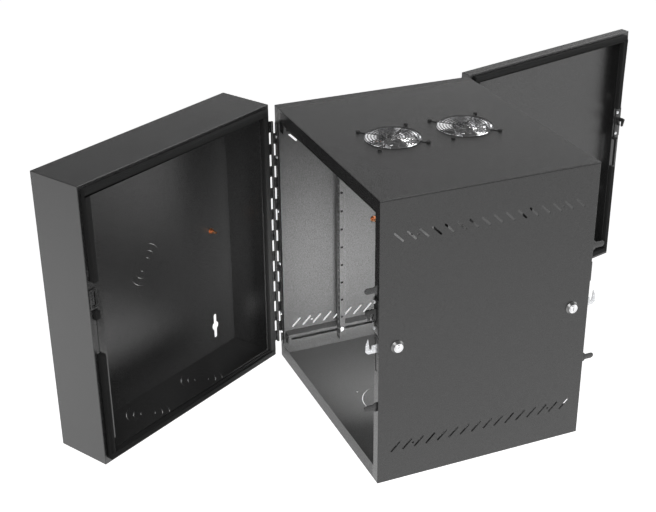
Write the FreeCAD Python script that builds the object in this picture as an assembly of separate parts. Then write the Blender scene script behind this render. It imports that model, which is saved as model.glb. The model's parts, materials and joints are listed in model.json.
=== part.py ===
"""Double-hinged wall mount network cabinet, twelve rack units high.

A shallow wall section screws to the wall. The centre section with the rack rails swings out
from it on a piano hinge, and the front door swings from the centre section on a second one.
Both hinges are on the same side, and the key locks, snap catches and guide tabs are on the other.

Frame: X runs to the hinge side, Y runs back into the wall, Z is up, and the origin is the middle
of the face that lies on the wall. Every piece is drawn with the cabinet closed and its lower
edge at height 0. It is then turned about the hinge pins into the open rest position and
lowered by half the cabinet's height.
"""
import FreeCAD, Part
import math
import os
from FreeCAD import Vector

# ------------------------------------------------------------------ driving dimensions, mm
# Overall
rack_units = 12
unit_pitch = 44.45
rail_end_margin = 38.1
cabinet_width = 536.0
wall_section_depth = 126.0
centre_section_depth = 457.2
door_depth = 23.0
shell_gap = 12.0
shell_sheet = 1.5
fold_radius = 1.0
seam_drop = 1.8
seam_width = 1.0
seam_cut = 1.0
centre_open_angle = 60.0
door_open_angle = 105.0

# Return flanges round the openings
centre_rear_flange_lock = 20.0
centre_front_flange_lock = 24.0
centre_flange_hinge = 24.0
centre_flange_top = 29.0
centre_flange_bottom = 32.0
wall_flange_lock = 23.0
wall_flange_hinge = 30.0
wall_flange_top = 24.0
wall_flange_bottom = 28.0
door_flange_lock = 25.0

# Gaskets
gasket_width = 12.5
gasket_air = 0.5
wall_gasket_inset_lock = 8.0
door_gasket_inset_lock = 12.0
gasket_inset_hinge = 15.5
gasket_inset_top = 7.0
gasket_inset_bottom = 12.0
gasket_end_air = 2.0
gasket_block_gap = 5.0
door_gasket_height = 9.5

# Wall fixing and wall section fittings
stud_spacing = 406.4
wall_slot_inset = 63.5
wall_slot_length = 61.0
wall_slot_width = 9.0
wall_slot_bulb = 20.0
knockout_diameters = (92.0, 62.0, 31.0)
knockout_cut = 0.4
knockout_tie = 2.0
top_knockout_spacing = 169.0
knockout_lead_stop = 2.0
corner_tab_width = 20.0
stiffener_reach = 11.0
stiffener_depth = 14.0
stiffener_lap = 6.0
stiffener_end_inset = 48.0
ground_stud_inset = 63.5

# Vent slots in the side panels
vent_count = 16
vent_pitch = 25.4
vent_span = 20.0
vent_width = 4.0
vent_row_inset = 77.8
side_hole_inset = 76.2
side_hole_diameter = 4.6

# Piano hinges
hinge_knuckles = 21
hinge_leaf_sheet = 1.2
hinge_leaf_width = 11.0
hinge_leaf_inset = 4.0
hinge_notch_air = 1.1
knuckle_radius = 3.25
knuckle_air = 0.5
hinge_pin_radius = 1.6
hinge_pin_air = 0.05
hinge_pin_standoff = 2.5
hinge_pin_head = 1.0
hinge_pin_head_radius = 2.6
hinge_screw_pitch = 127.0
hinge_end_screw_inset = 68.1
hinge_screw_edge = 4.5
hinge_screw_radius = 3.0
hinge_screw_head = 1.8

# Key locks and hook cams
lock_setback = 38.1
lock_bezel_radius = 13.5
lock_bezel_face_radius = 9.8
lock_bezel_height = 7.0
lock_barrel_radius = 9.5
lock_barrel_depth = 7.5
lock_nut_across = 24.0
lock_nut_height = 3.5
lock_plug_radius = 7.0
lock_plug_air = 0.05
lock_plug_proud = 0.5
key_slot_length = 7.5
key_slot_width = 1.4
key_slot_depth = 5.0
cam_offset = 9.6
cam_sheet = 2.4
cam_hub_radius = 11.0
cam_arm_up = 7.7
cam_arm_down = 9.3
cam_tooth_height = 22.2
cam_tooth_width = 5.5
cam_tooth_root = 0.5
cam_corner_cut = 5.0
cam_tip_run = 1.0
cam_tip_slope = 13.0
cam_throat_air = 2.0
cam_flange_air = 0.6
cam_slot_air = 2.0
cam_slot_side_air = 2.9
cam_latch_lift = 6.5
cam_screw_radius = 5.0
cam_screw_head = 2.5

# Guide tabs and snap catches
tab_spacing = 254.0
tab_sheet = 2.0
tab_inset = 4.4
tab_reach = 27.5
tab_base_height = 20.0
tab_base_reach = 6.5
tab_base_slope = 2.0
tab_finger_height = 12.0
tab_slot_air = 1.5
catch_rise = 69.0
catch_plate_height = 74.0
catch_plate_width = 20.0
catch_plate_sheet = 2.0
catch_tongue_rise = 4.5
catch_height = 21.0
catch_reach = 23.5
catch_sheet = 4.5
catch_inset = 9.0
catch_neck = 9.0
catch_barb = 4.5
catch_barb_slant = 4.5
catch_nose_cut = 2.0
catch_root_reach = 10.0
catch_root_slant = 4.0
catch_screw_spacing = 55.5
catch_screw_inset = 15.5
catch_screw_radius = 3.6
catch_screw_head = 2.6
catch_screw_bevel = 0.9
receiver_air = 2.25
receiver_air_below = 6.8
receiver_border = 4.5
receiver_end_border = 6.0
receiver_sheet = 3.0

# Rack rails
rail_side_gap = 22.5
rail_hole_inset = 11.45
rail_hole_diameter = 7.1
rail_face_width = 19.0
rail_side_depth = 20.0
rail_sheet = 2.0
rail_overrun = 6.0
rail_setback = 129.0
rail_slot_length = 10.0
rail_slot_width = 4.6
angle_sheet = 1.5
angle_height = 23.0
angle_base = 38.0
angle_end_inset = 10.0
angle_slot_height = 6.4
angle_slot_rise = 13.0
rail_bolt_radius = 5.0
rail_bolt_head = 3.5
rail_bolt_shank = 3.0

# Roof fans
fan_size = 119.0
fan_depth = 25.4
fan_hole_spacing = 104.8
fan_bore = 114.0
fan_corner_radius = 4.8
fan_spacing = 158.75
fan_hub_radius = 20.0
fan_blades = 7
fan_tip_air = 1.6
fan_blade_sheet = 1.4
fan_blade_chord = 27.0
fan_blade_pitch = 32.0
fan_motor_height = 6.0
fan_strut_width = 6.0
fan_shaft_radius = 2.5
fan_shaft_air = 0.05
guard_wire = 1.6
guard_rings = 8
guard_ring_pitch = 6.25
guard_loop_radius = 4.2
guard_ring_lift = 2.2
guard_screw_radius = 2.0
guard_screw_head = 1.6

# Ground studs
stud_radius = 3.0
stud_length = 16.0
stud_nut_across = 10.0
stud_nut_height = 4.5
stud_washer_radius = 7.0
stud_washer_sheet = 1.2

# Bonding nut on the wall section's hinge side
bonding_nut_setback = 11.0
bonding_nut_height = 217.0
bonding_nut_across = 8.0
bonding_nut_thickness = 3.0
bonding_nut_bore = 4.0

# Floor knock-outs, where two more fans can go
floor_ring_diameter = 117.0
floor_ring_cut = 1.6
floor_ring_tie = 5.0

# ------------------------------------------------------------------ sizes that follow
rack_height = rack_units * unit_pitch
cabinet_height = rack_height + 2 * rail_end_margin
half_width = cabinet_width / 2
mid_height = cabinet_height / 2
wall_front_y = -wall_section_depth
centre_rear_y = wall_front_y - shell_gap
centre_front_y = centre_rear_y - centre_section_depth
door_rear_y = centre_front_y - shell_gap
door_front_y = door_rear_y - door_depth
centre_mid_y = (centre_rear_y + centre_front_y) / 2
hinge_x = half_width + hinge_pin_standoff
wall_pin_y = wall_front_y - shell_gap / 2
door_pin_y = centre_front_y - shell_gap / 2
cam_slot_top = cam_tooth_height + cam_slot_air
gasket_height = shell_gap - gasket_air
gasket_block_height = shell_gap - catch_plate_sheet - catch_screw_head - gasket_air
catch_mid_height = mid_height + catch_rise
tongue_mid_height = catch_mid_height + catch_tongue_rise
rail_outer = half_width - shell_sheet - rail_side_gap
rail_opening = 2 * (rail_outer - rail_face_width)
rail_hole_spacing = 2 * (rail_outer - rail_hole_inset)

X_AXIS = Vector(1, 0, 0)
Y_AXIS = Vector(0, 1, 0)
Z_AXIS = Vector(0, 0, 1)


# ------------------------------------------------------------------ shape helpers
def box(x, y, z):
    """Block between the two values given along each axis."""
    corner = Vector(min(x), min(y), min(z))
    return Part.makeBox(abs(x[1] - x[0]), abs(y[1] - y[0]), abs(z[1] - z[0]), corner)


def rod(start, end, radius):
    """Round bar from one point to another."""
    run = Vector(*end) - Vector(*start)
    return Part.makeCylinder(radius, run.Length, Vector(*start), run)


def plate(points, place, thickness, normal):
    """Flat plate from an outline of (a, b) pairs, set in space by place(a, b)."""
    corners = [place(a, b) for a, b in points]
    outline = Part.makePolygon(corners + corners[:1])
    return Part.Face(outline).extrude(normal * thickness)


def long_hole(centre, along, normal, length, width, depth):
    """Cutter for a slot with round ends, centred on a point inside the sheet."""
    radius = width / 2
    across = normal.cross(along)
    reach = along * (length / 2 - radius)
    side = across * radius
    tip = along * (length / 2)
    a, b = centre + reach + side, centre - reach + side
    c, d = centre - reach - side, centre + reach - side
    edges = [
        Part.LineSegment(a, b).toShape(),
        Part.Arc(b, centre - tip, c).toShape(),
        Part.LineSegment(c, d).toShape(),
        Part.Arc(d, centre + tip, a).toShape(),
    ]
    face = Part.Face(Part.Wire(edges))
    face.translate(normal * (-depth / 2))
    return face.extrude(normal * depth)


def round_hole(centre, normal, diameter, depth):
    """Cutter for a round hole, centred on a point inside the sheet."""
    return Part.makeCylinder(diameter / 2, depth, centre - normal * (depth / 2), normal)


def hexagon(centre, normal, across, height):
    """Hexagon bar that starts at a point and rises along the normal."""
    side = Vector(0, 0, 1) if abs(normal.z) < 0.5 else Vector(1, 0, 0)
    other = normal.cross(side)
    radius = across / math.sqrt(3)
    points = []
    for step in range(6):
        turn = math.radians(60 * step)
        points.append(centre + side * (radius * math.cos(turn)) + other * (radius * math.sin(turn)))
    return Part.Face(Part.makePolygon(points + points[:1])).extrude(normal * height)


def knockout(centre, normal, diameters, cut, tie, depth):
    """Cutters for a concentric knock-out: two half-round slits a ring, with a tie between them."""
    cutters = []
    start = centre - normal * (depth / 2)
    for ring, diameter in enumerate(diameters):
        outer = diameter / 2
        tie_angle = math.degrees(tie / outer)
        core = Part.makeCylinder(outer - cut, 3 * depth, start - normal * depth, normal)
        for half in (0, 1):
            slit = Part.makeCylinder(outer, depth, start, normal, 180 - tie_angle).cut(core)
            slit.rotate(centre, normal, 90 * ring + 180 * half + tie_angle / 2)
            cutters.append(slit)
    return cutters


def cut_all(shape, cutters):
    """Shape with every cutter taken away in one operation."""
    return shape.cut(cutters)


def solids_of(*shapes):
    """Flat list of the solids in some shapes."""
    return [solid for shape in shapes for solid in shape.Solids]


def fused(shapes):
    """One shape from several that touch or overlap, with needless seams removed."""
    return shapes[0].multiFuse(shapes[1:]).removeSplitter()


# ------------------------------------------------------------------ assembly bookkeeping
PARTS = {}


def turned(shape, pin_y, angle):
    """Copy of a shape, turned about the upright hinge pin at pin_y."""
    copy = shape.copy()
    copy.rotate(Vector(hinge_x, pin_y, 0), Z_AXIS, angle)
    return copy


def add(name, section, *shapes):
    """File solids under a node name, turned to where their section stands at rest."""
    for solid in solids_of(*shapes):
        if section == "door":
            solid = turned(solid, door_pin_y, door_open_angle)
        if section in ("door", "centre"):
            solid = turned(solid, wall_pin_y, centre_open_angle)
        PARTS.setdefault(name, []).append(solid.translated(Vector(0, 0, -mid_height)))


# ------------------------------------------------------------------ folded shells
def folded_box(y_rear, y_front):
    """Closed box of shell sheet with rounded outer folds."""
    outer = box((-half_width, half_width), (y_rear, y_front), (0, cabinet_height))
    outer = outer.makeFillet(fold_radius, outer.Edges)
    inset = half_width - shell_sheet
    inner = box((-inset, inset), (y_rear - shell_sheet, y_front + shell_sheet),
                (shell_sheet, cabinet_height - shell_sheet))
    return outer.cut(inner)


def opening(y_face, lock, hinge, top, bottom):
    """Cutter for an opening through the sheet at y_face, inside four flanges."""
    return box((-half_width + lock, half_width - hinge),
               (y_face - 2 * shell_sheet, y_face + 2 * shell_sheet),
               (bottom, cabinet_height - top))


def hook_slot(y_face, inward):
    """Cutter through a lock-side flange for the hook cam; inward is +1 or -1 along Y."""
    swing = max(math.hypot(out, up) for out, up in lock_profile())
    drop = math.sqrt(swing ** 2 - lock_setback ** 2) + cam_slot_air
    x_low = -half_width + cam_offset - cam_slot_side_air
    x_high = -half_width + cam_offset + cam_sheet + cam_slot_side_air
    return box((x_low, x_high), (y_face - inward * shell_sheet, y_face + 3 * inward * shell_sheet),
               (mid_height - drop, mid_height + cam_slot_top))


def tab_slots(y_face, inward):
    """Cutters through a lock-side flange for the two guide tabs."""
    cutters = []
    half = tab_finger_height / 2 + tab_slot_air
    for side in (-1, 1):
        z = mid_height + side * tab_spacing / 2
        cutters.append(box((-half_width + tab_inset - tab_slot_air / 2,
                            -half_width + tab_inset + tab_sheet + tab_slot_air),
                           (y_face - inward * shell_sheet, y_face + 3 * inward * shell_sheet),
                           (z - half, z + half)))
    return cutters


def catch_window(y_face, inward):
    """Cutter through a lock-side flange for the snap catch's tongue."""
    x, z = receiver_window()
    return box(x, (y_face - inward * shell_sheet, y_face + 3 * inward * shell_sheet), z)


def receiver_window():
    """Range along X and along Z of the window that lets the snap catch's tongue in."""
    x_low = -half_width + catch_inset
    half = catch_height / 2
    return ((x_low - receiver_air, x_low + catch_sheet + receiver_air),
            (tongue_mid_height - half - receiver_air_below, tongue_mid_height + half + receiver_air))


def wall_section():
    """Back panel and front frame of the part that stays on the wall."""
    shell = folded_box(0, wall_front_y)
    shell = shell.cut(opening(wall_front_y, wall_flange_lock, wall_flange_hinge,
                              wall_flange_top, wall_flange_bottom))
    back_slab = box((-cabinet_width, cabinet_width), (shell_sheet, -shell_sheet),
                    (-cabinet_height, 2 * cabinet_height))
    back = shell.common(back_slab)
    frame = shell.cut(back_slab)

    cutters = []
    for x in (-stud_spacing / 2, stud_spacing / 2):
        for z in (wall_slot_inset, cabinet_height - wall_slot_inset):
            centre = Vector(x, -shell_sheet / 2, z)
            cutters.append(long_hole(centre, Z_AXIS, Y_AXIS, wall_slot_length, wall_slot_width,
                                     3 * shell_sheet))
            cutters.append(round_hole(centre, Y_AXIS, wall_slot_bulb, 3 * shell_sheet))
    middle = Vector(0, -shell_sheet / 2, mid_height)
    cutters += knockout(middle, Y_AXIS, knockout_diameters, knockout_cut, knockout_tie,
                        3 * shell_sheet)
    add("wall_back_panel", "wall", cut_all(back, cutters))

    frame = fused([frame] + corner_tabs())
    cutters = [hook_slot(wall_front_y, 1), catch_window(wall_front_y, 1)]
    cutters += tab_slots(wall_front_y, 1)
    for x in (-top_knockout_spacing / 2, top_knockout_spacing / 2):
        for z in (shell_sheet / 2, cabinet_height - shell_sheet / 2):
            centre = Vector(x, wall_front_y / 2, z)
            cutters += knockout(centre, Z_AXIS, knockout_diameters, knockout_cut, knockout_tie,
                                3 * shell_sheet)
            for edge in (-1, 1):
                cutters.append(box((x + edge * knockout_diameters[0] / 2,
                                    x + edge * (knockout_diameters[0] / 2 - knockout_cut)),
                                   (wall_front_y / 2, wall_front_y + knockout_lead_stop),
                                   (z - shell_sheet, z + shell_sheet)))
    add("wall_section_frame", "wall", cut_all(frame, cutters))


def corner_tabs():
    """Weld tabs of the two side walls, which lie on the wall section's top and bottom sheets."""
    tabs = []
    for side in (-1, 1):
        x_wall = side * (half_width - shell_sheet)
        for z in (shell_sheet, cabinet_height - 2 * shell_sheet):
            tabs.append(box((x_wall, x_wall - side * corner_tab_width),
                            (-shell_sheet, wall_front_y + shell_sheet), (z, z + shell_sheet)))
    return tabs


def wall_stiffener():
    """Angle welded behind the lock-side flange, which stiffens the strike edge."""
    y_weld = wall_front_y + shell_sheet
    low = stiffener_end_inset
    high = cabinet_height - stiffener_end_inset
    x_in = -half_width + wall_flange_lock + stiffener_reach
    lap = box((-half_width + wall_flange_lock - stiffener_lap, x_in),
              (y_weld, y_weld + shell_sheet), (low, high))
    leg = box((x_in - shell_sheet, x_in), (y_weld, y_weld + stiffener_depth), (low, high))
    angle = fused([lap, leg])
    cutters = [hook_slot(y_weld, 1), catch_window(y_weld, 1)]
    add("wall_section_stiffener", "wall", cut_all(angle, cutters))


def centre_section():
    """Roof, floor and two side panels of the swing-out section, each with folded flanges."""
    shell = folded_box(centre_rear_y, centre_front_y)
    for y_face, flange in ((centre_rear_y, centre_rear_flange_lock),
                           (centre_front_y, centre_front_flange_lock)):
        shell = shell.cut(opening(y_face, flange, centre_flange_hinge,
                                  centre_flange_top, centre_flange_bottom))
    far = 2 * cabinet_width
    long_y = (centre_rear_y + shell_gap, centre_front_y - shell_gap)
    lock_x = -half_width + max(centre_rear_flange_lock, centre_front_flange_lock)
    hinge_side_x = half_width - centre_flange_hinge
    lock_side = shell.common(box((-far, lock_x), long_y, (-far, far)))
    hinge_side = shell.common(box((hinge_side_x, far), long_y, (-far, far)))
    roof = shell.common(box((lock_x, hinge_side_x), long_y, (mid_height, far)))
    floor = shell.common(box((lock_x, hinge_side_x), long_y, (-far, mid_height)))

    lock_cutters = vent_slots(-half_width + shell_sheet / 2) + [roof_seam(-1)]
    for y in (centre_rear_y - lock_setback, centre_front_y + lock_setback):
        seat = Vector(-half_width + shell_sheet / 2, y, mid_height)
        lock_cutters.append(round_hole(seat, X_AXIS, 2 * lock_barrel_radius, 3 * shell_sheet))
    for y_face, inward in ((centre_rear_y, -1), (centre_front_y, 1)):
        lock_cutters.append(hook_slot(y_face, inward))
    lock_cutters.append(catch_window(centre_front_y, 1))
    add("centre_lock_side_panel", "centre", cut_all(lock_side, lock_cutters))
    hinge_cutters = vent_slots(half_width - shell_sheet / 2) + [roof_seam(1)]
    add("centre_hinge_side_panel", "centre", cut_all(hinge_side, hinge_cutters))

    roof_cutters = []
    floor_cutters = []
    for y in fan_places():
        top = Vector(0, y, cabinet_height - shell_sheet / 2)
        roof_cutters.append(round_hole(top, Z_AXIS, fan_bore, 3 * shell_sheet))
        for x, dy in fan_corners():
            roof_cutters.append(round_hole(top + Vector(x, dy, 0), Z_AXIS,
                                           2 * guard_screw_radius, 3 * shell_sheet))
        low = Vector(0, y, shell_sheet / 2)
        floor_cutters += knockout(low, Z_AXIS, (floor_ring_diameter,), floor_ring_cut,
                                  floor_ring_tie, 3 * shell_sheet)
        for x, dy in fan_corners():
            floor_cutters.append(round_hole(low + Vector(x, dy, 0), Z_AXIS,
                                            2 * guard_screw_radius, 3 * shell_sheet))
    add("centre_roof_panel", "centre", cut_all(roof, roof_cutters))
    add("centre_floor_panel", "centre", cut_all(floor, floor_cutters))


def roof_seam(side):
    """Groove in a side panel's skin just under the roof's edge, where the roof's lip ends."""
    skin = side * half_width
    top = cabinet_height - seam_drop
    return box((skin - side * seam_cut, skin + side * seam_cut),
               (centre_rear_y + shell_sheet, centre_front_y - shell_sheet), (top - seam_width, top))


def vent_slots(x):
    """Cutters for the two rows of slanted vents and the small holes in a side panel."""
    cutters = []
    slant = vent_span * math.sqrt(2)
    for lean, z in ((1, vent_row_inset), (-1, cabinet_height - vent_row_inset)):
        along = Vector(0, -1, lean).normalize()
        for step in range(vent_count):
            y = centre_mid_y + (step - (vent_count - 1) / 2) * vent_pitch
            cutters.append(long_hole(Vector(x, y, z), along, X_AXIS, slant, vent_width,
                                     3 * shell_sheet))
        for y in (centre_rear_y - side_hole_inset, centre_front_y + side_hole_inset):
            cutters.append(round_hole(Vector(x, y, z), X_AXIS, side_hole_diameter,
                                      3 * shell_sheet))
    return cutters


def door():
    """Front door: a shallow pan with a flange turned in round its back."""
    shell = folded_box(door_rear_y, door_front_y)
    cutters = [opening(door_rear_y, door_flange_lock, wall_flange_hinge,
                       wall_flange_top, wall_flange_bottom)]
    cutters.append(hook_slot(door_rear_y, -1))
    cutters += tab_slots(door_rear_y, -1)
    add("door_panel", "door", cut_all(shell, cutters))


# ------------------------------------------------------------------ seals and their gaps
def gasket(y_face, outward, inset_lock, height, block_top, block_height):
    """Foam strips round an opening, parted on the lock side for the hook and the catch.

    A short block fills the lock side between the hook's slot and block_top.
    """
    y = (y_face, y_face + outward * height)
    x_lock = (-half_width + inset_lock, -half_width + inset_lock + gasket_width)
    x_hinge = (half_width - gasket_inset_hinge - gasket_width, half_width - gasket_inset_hinge)
    z_low = gasket_inset_bottom
    z_high = cabinet_height - gasket_inset_top
    inner_low = z_low + gasket_width
    inner_high = z_high - gasket_width
    hook = hook_slot(y_face, 1).BoundBox
    plate_top = catch_mid_height + catch_plate_height / 2
    block = box(x_lock, (y_face, y_face + outward * block_height),
                (hook.ZMax + gasket_end_air, block_top))
    return [
        box(x_lock, y, (inner_low, hook.ZMin)),
        block,
        box(x_lock, y, (plate_top + gasket_end_air, inner_high)),
        box(x_hinge, y, (inner_low, inner_high)),
        box((x_lock[0], x_hinge[1]), y, (z_low, inner_low)),
        box((x_lock[0], x_hinge[1]), y, (inner_high, z_high)),
    ]


# ------------------------------------------------------------------ piano hinges
def hinge_leaf(pin_y, side):
    """Leaf of a piano hinge; side is +1 for the leaf nearer the wall, -1 for the other."""
    pitch = rack_height / hinge_knuckles
    z_foot = rail_end_margin
    seat_y = pin_y + side * shell_gap / 2
    face_y = seat_y - side * hinge_leaf_sheet
    edge_x = half_width - hinge_leaf_inset
    notch_x = hinge_x - knuckle_radius - hinge_notch_air
    leaf = [box((edge_x - hinge_leaf_width, notch_x), (seat_y, face_y),
                (z_foot, z_foot + rack_height))]
    first = 0 if side > 0 else 1
    half_sheet = hinge_leaf_sheet / 2
    bores = []
    for knuckle in range(first, hinge_knuckles, 2):
        low = z_foot + knuckle * pitch + (knuckle_air if knuckle else 0)
        high = z_foot + (knuckle + 1) * pitch - (knuckle_air if knuckle < hinge_knuckles - 1 else 0)
        tongue = box((notch_x - half_sheet, hinge_x + half_sheet), (seat_y, face_y), (low, high))
        web = box((hinge_x - half_sheet, hinge_x + half_sheet), (face_y, pin_y), (low, high))
        barrel = rod((hinge_x, pin_y, low), (hinge_x, pin_y, high), knuckle_radius)
        leaf += [tongue, web, barrel]
        bores.append(rod((hinge_x, pin_y, low - 1), (hinge_x, pin_y, high + 1),
                         hinge_pin_radius + hinge_pin_air))
    bores += [rod((leaf_screw_x(), seat_y + side, z), (leaf_screw_x(), face_y - side, z),
                  hinge_screw_radius / 2) for z in hinge_screw_heights()]
    return cut_all(fused(leaf), bores)


def leaf_screw_x():
    """Where the screws stand across a hinge leaf."""
    return half_width - hinge_leaf_inset - hinge_leaf_width + hinge_screw_edge


def hinge_screw_heights():
    """Heights of the screws up a hinge leaf."""
    heights = [mid_height + step * hinge_screw_pitch for step in (-1.5, -0.5, 0.5, 1.5)]
    return [hinge_end_screw_inset] + heights + [cabinet_height - hinge_end_screw_inset]


def hinge_screws(pin_y, side):
    """Screws of one leaf: a low round head on the leaf and a shank through leaf and flange."""
    seat_y = pin_y + side * shell_gap / 2
    face_y = seat_y - side * hinge_leaf_sheet
    x = leaf_screw_x()
    screws = []
    for z in hinge_screw_heights():
        head = rod((x, face_y, z), (x, face_y - side * hinge_screw_head, z), hinge_screw_radius)
        shank = rod((x, face_y, z), (x, seat_y, z), hinge_screw_radius / 2)
        screws.append(fused([head, shank]))
    return screws


def hinge_pin(pin_y):
    """Pin through all knuckles, peened over at both ends."""
    low = rail_end_margin
    high = low + rack_height
    core = rod((hinge_x, pin_y, low), (hinge_x, pin_y, high), hinge_pin_radius)
    ends = [rod((hinge_x, pin_y, end), (hinge_x, pin_y, end + way * hinge_pin_head),
                hinge_pin_head_radius) for end, way in ((low, -1), (high, 1))]
    return fused([core] + ends)


# ------------------------------------------------------------------ key locks
def lock_profile():
    """Outline of the hook cam as (out, up) pairs from the lock's axis.

    The strike edge is the flange on the far side of the shell gap. The hook's inner face is
    upright when the key has lifted the cam by cam_latch_lift, so it then stands just behind
    the flange.
    """
    lift = math.radians(cam_latch_lift)
    behind = lock_setback + shell_gap + shell_sheet + cam_flange_air

    def unlifted(out, up):
        return (out * math.cos(lift) + up * math.sin(lift),
                -out * math.sin(lift) + up * math.cos(lift))

    root = unlifted(behind, behind * math.sin(lift) + cam_tooth_root)
    tip_up = (cam_tooth_height + behind * math.sin(lift)) / math.cos(lift)
    tip = (unlifted(behind, tip_up)[0], cam_tooth_height)
    outer = tip[0] + cam_tooth_width
    throat = lock_setback + shell_gap - cam_throat_air
    return [
        (0, -cam_hub_radius), (outer - cam_corner_cut, -cam_arm_down),
        (outer, -cam_arm_down + cam_corner_cut), (outer, cam_tooth_height - cam_tip_slope),
        (tip[0] + cam_tip_run, tip[1]), tip, root, (throat, root[1]), (throat, cam_arm_up),
        (0, cam_hub_radius),
    ]


def key_lock(name, y_face, outward):
    """Key lock near one face of the centre section: barrel, nut, turning plug and hook cam."""
    y = y_face - outward * lock_setback
    skin = -half_width
    barrel = rod((skin, y, mid_height), (skin + lock_barrel_depth + shell_sheet, y, mid_height),
                 lock_barrel_radius)
    bezel = Part.makeCone(lock_bezel_radius, lock_bezel_face_radius, lock_bezel_height,
                          Vector(skin, y, mid_height), Vector(-1, 0, 0))
    bore = rod((skin - 2 * lock_bezel_height, y, mid_height),
               (skin + 2 * lock_barrel_depth, y, mid_height), lock_plug_radius + lock_plug_air)
    add(name + "_lock_barrel", "centre", fused([barrel, bezel]).cut(bore))

    nut_start = Vector(skin + shell_sheet, y, mid_height)
    nut = hexagon(nut_start, X_AXIS, lock_nut_across, lock_nut_height)
    nut = nut.cut(round_hole(nut_start, X_AXIS, 2 * lock_barrel_radius, 3 * lock_nut_height))
    add(name + "_lock_nut", "centre", nut)

    cam_x = skin + cam_offset
    front = skin - lock_bezel_height - lock_plug_proud
    plug = rod((front, y, mid_height), (cam_x, y, mid_height), lock_plug_radius)
    key_way = box((front - key_slot_depth, front + key_slot_depth),
                  (y - key_slot_width / 2, y + key_slot_width / 2),
                  (mid_height - key_slot_length / 2, mid_height + key_slot_length / 2))
    add(name + "_lock_plug", "centre", plug.cut(key_way))

    def place(out, up):
        return Vector(cam_x, y + outward * out, mid_height + up)

    blade = plate(lock_profile(), place, cam_sheet, X_AXIS)
    hub = rod((cam_x, y, mid_height), (cam_x + cam_sheet, y, mid_height), cam_hub_radius)
    add(name + "_hook_cam", "centre", fused([blade, hub]))
    screw = Part.makeCylinder(cam_screw_radius, cam_screw_head,
                              Vector(cam_x + cam_sheet, y, mid_height), X_AXIS)
    add(name + "_cam_screw", "centre", screw)


# ------------------------------------------------------------------ guide tabs and snap catches
def guide_tabs(y_face, outward):
    """Two tabs that steer the lock side home as a section closes."""
    tabs = []
    x = -half_width + tab_inset
    half_base = tab_base_height / 2
    half = tab_finger_height / 2
    for side in (-1, 1):
        z = mid_height + side * tab_spacing / 2

        def place(out, up, z=z):
            return Vector(x, y_face + outward * out, z + up)

        near = tab_base_reach - tab_base_slope
        far = tab_base_reach + tab_base_slope
        outline = [(0, -half_base), (near, -half_base), (far, -half), (tab_reach - half, -half),
                   (tab_reach - half, half), (far, half), (near, half_base), (0, half_base)]
        finger = plate(outline, place, tab_sheet, X_AXIS)
        tip = Part.makeCylinder(half, tab_sheet, place(tab_reach - half, 0), X_AXIS)
        tabs.append(fused([finger, tip]))
    return tabs


def snap_catch(y_face, outward):
    """Black snap catch: a plate on the flange and a barbed tongue that stands out of it."""
    skin = -half_width
    half_plate = catch_plate_height / 2
    base = box((skin + fold_radius, skin + catch_plate_width),
               (y_face, y_face + outward * catch_plate_sheet),
               (catch_mid_height - half_plate, catch_mid_height + half_plate))
    half = catch_height / 2
    under = half - catch_neck
    barb_foot = catch_reach - catch_barb_slant

    def place(out, up):
        return Vector(skin + catch_inset, y_face + outward * out, tongue_mid_height + up)

    outline = [(0, half), (catch_reach - catch_nose_cut, half), (catch_reach, half - catch_nose_cut),
               (barb_foot, -half), (barb_foot - catch_barb, -half), (barb_foot - catch_barb, under),
               (catch_root_reach - catch_root_slant, under), (catch_root_reach, -half), (0, -half)]
    return fused([base, plate(outline, place, catch_sheet, X_AXIS)])


def catch_screws(y_face, outward):
    """The two bright screws that hold a snap catch to its flange."""
    x = -half_width + catch_screw_inset
    start = y_face + outward * catch_plate_sheet
    screws = []
    for side in (-1, 1):
        height = catch_mid_height + side * catch_screw_spacing / 2
        head = rod((x, start, height), (x, start + outward * catch_screw_head, height),
                   catch_screw_radius)
        screws.append(head.makeChamfer(catch_screw_bevel, rim(head, start, outward)))
    return screws


def rim(head, start, outward):
    """The edge round the free end of a screw head that stands along Y."""
    end_y = start + outward * catch_screw_head
    return [edge for edge in head.Edges if abs(edge.BoundBox.YMin - end_y) < 0.01
            and abs(edge.BoundBox.YMax - end_y) < 0.01]


def catch_receiver(y_face, outward):
    """Framed window that the snap catch's tongue enters."""
    x, z = receiver_window()
    skin_border = min(receiver_border, x[0] + half_width - fold_radius)
    outer = box((x[0] - skin_border, x[1] + receiver_border),
                (y_face, y_face + outward * receiver_sheet),
                (z[0] - receiver_end_border, z[1] + receiver_end_border))
    return outer.cut(box(x, (y_face - outward, y_face + 3 * outward * receiver_sheet), z))


# ------------------------------------------------------------------ rack rails
def mounting_angle(side, upper):
    """Angle along a side panel with a long slot, which the rails bolt to at any depth."""
    x_in = side * rail_outer
    x_out = x_in + side * angle_sheet
    wall_x = side * (half_width - shell_sheet)
    y = (centre_rear_y - angle_end_inset, centre_front_y + angle_end_inset)
    top = angle_base + angle_height
    leg = box((x_in, x_out), y, (angle_base, top))
    shelf = box((x_in, wall_x), y, (top - angle_sheet, top))
    angle = fused([leg, shelf])
    centre = Vector((x_in + x_out) / 2, centre_mid_y, angle_base + angle_slot_rise)
    length = centre_section_depth - 2 * angle_end_inset - 2 * angle_slot_height
    angle = angle.cut(long_hole(centre, Y_AXIS, X_AXIS, length, angle_slot_height, 3 * angle_sheet))
    return angle.mirror(Vector(0, 0, mid_height), Z_AXIS) if upper else angle


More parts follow.
